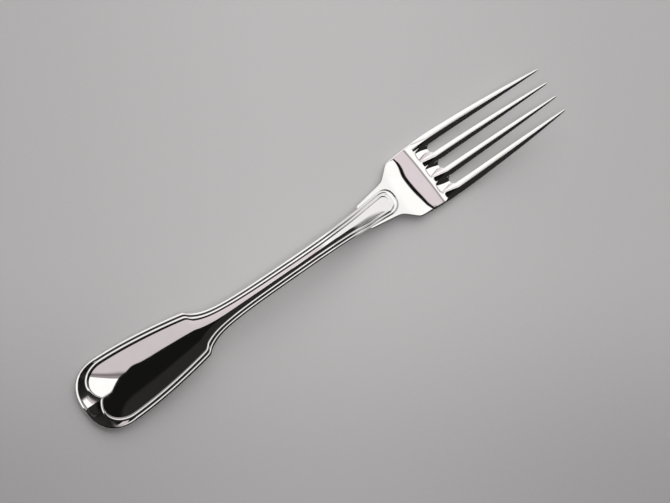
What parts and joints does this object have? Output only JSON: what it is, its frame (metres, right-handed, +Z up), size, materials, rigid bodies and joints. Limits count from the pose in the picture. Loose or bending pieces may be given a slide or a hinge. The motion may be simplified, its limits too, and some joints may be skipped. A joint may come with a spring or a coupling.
{
  "type": "dessert fork",
  "caption": "Slender fork with a fiddle-shaped handle edged by double threads, an arched stem and long pointed tines, for lifting and spearing small portions of food.",
  "frame": {"origin": "middle of the fork's length and width, on the table it rests on", "axes": "+X from the round end of the handle to the tips of the tines, +Y across the fork, +Z up from the table, with the hollow side of the tines up"},
  "size_m": [0.175, 0.0232, 0.0122],
  "materials": {
    "silver": "mirror-polished silver with fine wear marks"
  },
  "bodies": {
    "root": {"handle": "silver", "stem": "silver", "heel": "silver", "head": "silver", "tine_1": "silver", "tine_2": "silver", "tine_3": "silver", "tine_4": "silver"}
  },
  "joints": []
}
